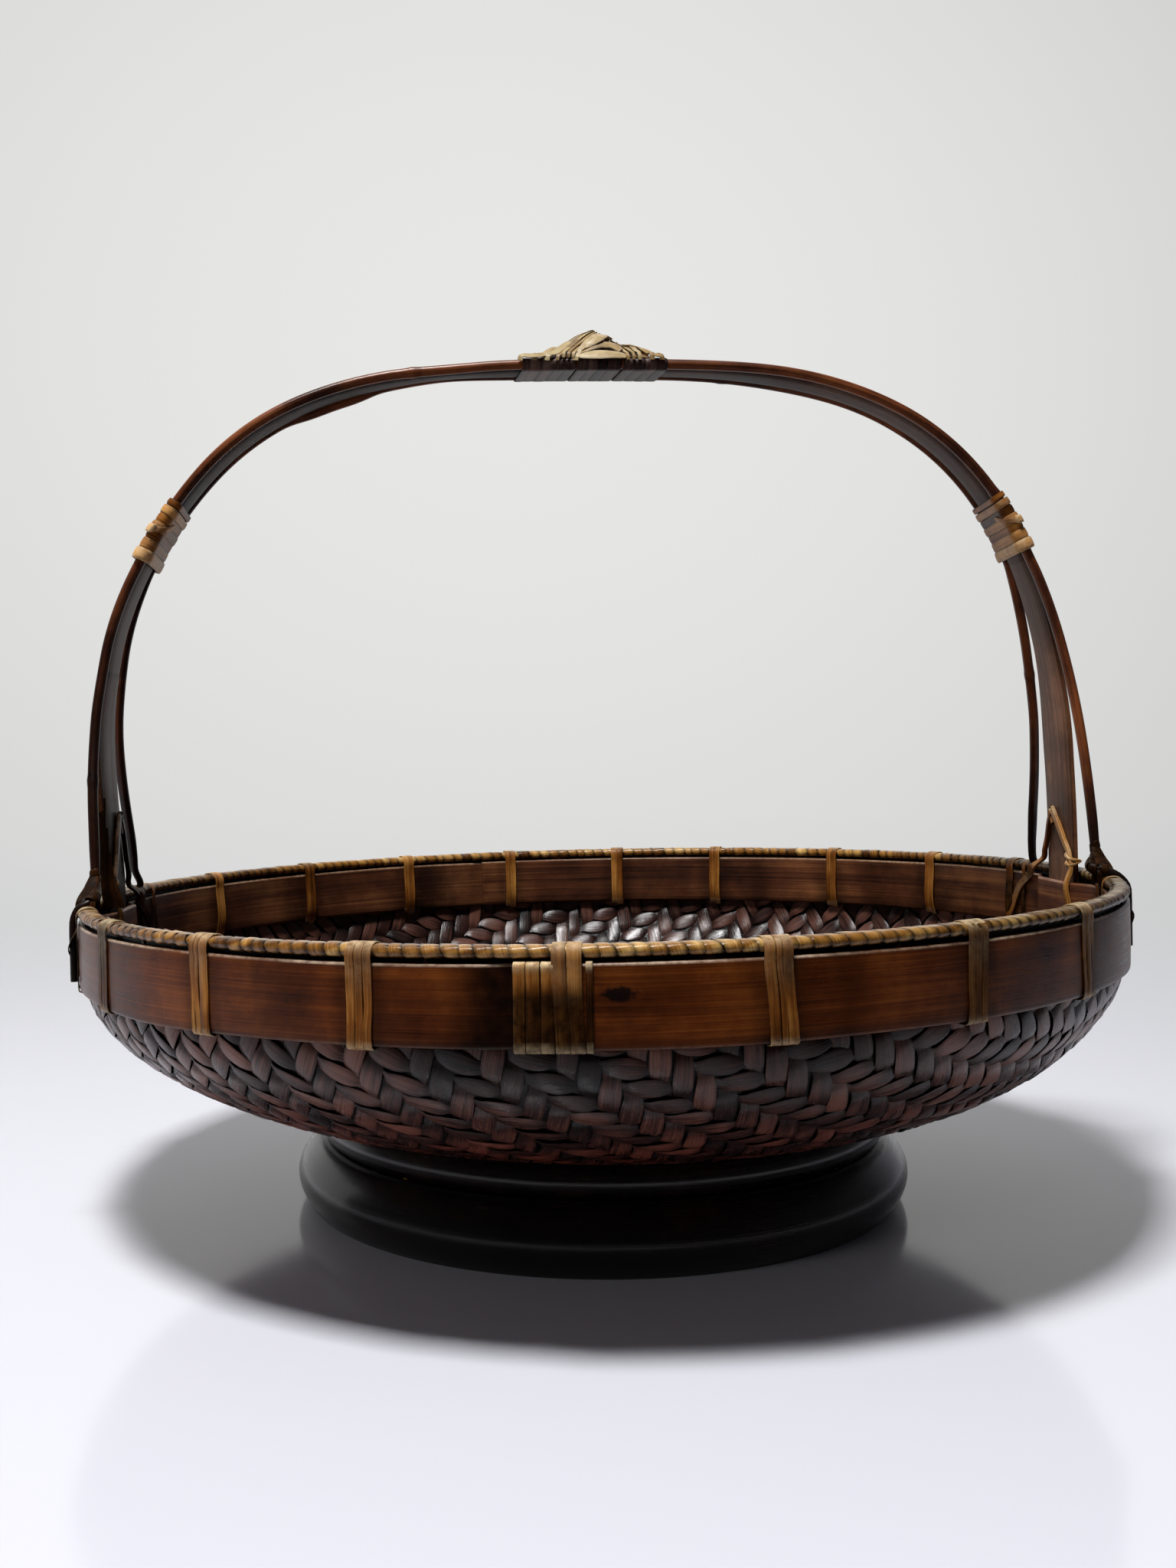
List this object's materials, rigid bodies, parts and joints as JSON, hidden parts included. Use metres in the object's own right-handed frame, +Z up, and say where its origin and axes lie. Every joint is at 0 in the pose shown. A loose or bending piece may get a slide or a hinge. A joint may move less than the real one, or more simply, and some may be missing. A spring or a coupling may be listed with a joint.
{
  "type": "bamboo offering basket",
  "caption": "Round shallow woven bamboo basket on a ring foot, with cane-tied rim bands and a tall arched handle lashed fast across the rim.",
  "frame": {"origin": "on the resting surface, under the middle of the foot ring", "axes": "+Z up, +X along the handle's span, -Y towards the front with the wide tie"},
  "size_m": [0.4231, 0.4199, 0.3566],
  "materials": {
    "foot_lacquer": "glossy near-black lacquered bamboo",
    "dark_bamboo": "satin dark brown bamboo",
    "woven_bamboo": "satin purplish brown woven bamboo strips",
    "honey_bamboo": "varnished honey brown bamboo",
    "red_bamboo": "varnished red brown bamboo",
    "handle_bamboo": "glossy very dark brown bamboo",
    "rim_cane": "satin golden tan cane",
    "tie_cane": "satin golden tan cane",
    "lashing_cane": "satin grey gold cane",
    "pale_cane": "satin pale gold cane",
    "peg_bamboo": "plain pale bamboo"
  },
  "bodies": {
    "root": {"foot_ring_lower": "foot_lacquer", "foot_ring_upper": "foot_lacquer", "base_slat_across": "dark_bamboo", "base_slat_along": "dark_bamboo", "woven_bowl": "woven_bamboo", "rim_band_outer": "honey_bamboo", "rim_band_inner": "red_bamboo", "rim_core": "dark_bamboo", "rim_wrap": "rim_cane", "handle_strip": "handle_bamboo", "handle_rod_front": "handle_bamboo", "handle_rod_rear": "handle_bamboo", "shoulder_lashing_right": "lashing_cane", "shoulder_lashing_left": "lashing_cane", "crown_lashing": "pale_cane", "crown_knot": "pale_cane", "leg_lashing_right": "lashing_cane", "leg_lashing_left": "lashing_cane", "tie_front_1": "tie_cane", "tie_front_2": "tie_cane", "tie_front_3": "tie_cane", "tie_front_4": "tie_cane", "tie_front_5": "tie_cane", "tie_front_6": "tie_cane", "tie_back_1": "tie_cane", "tie_back_2": "tie_cane", "tie_back_3": "tie_cane", "tie_back_4": "tie_cane", "tie_back_5": "tie_cane", "tie_back_6": "tie_cane", "tie_back_7": "tie_cane", "tie_back_8": "tie_cane", "tie_wide": "tie_cane", "rod_tie_right_rear": "tie_cane", "rod_tie_left_rear": "tie_cane", "rod_tie_left_front": "tie_cane", "rod_tie_right_front": "tie_cane", "foot_peg_1": "peg_bamboo", "foot_peg_2": "peg_bamboo", "foot_peg_3": "peg_bamboo", "foot_peg_4": "peg_bamboo"}
  },
  "joints": []
}
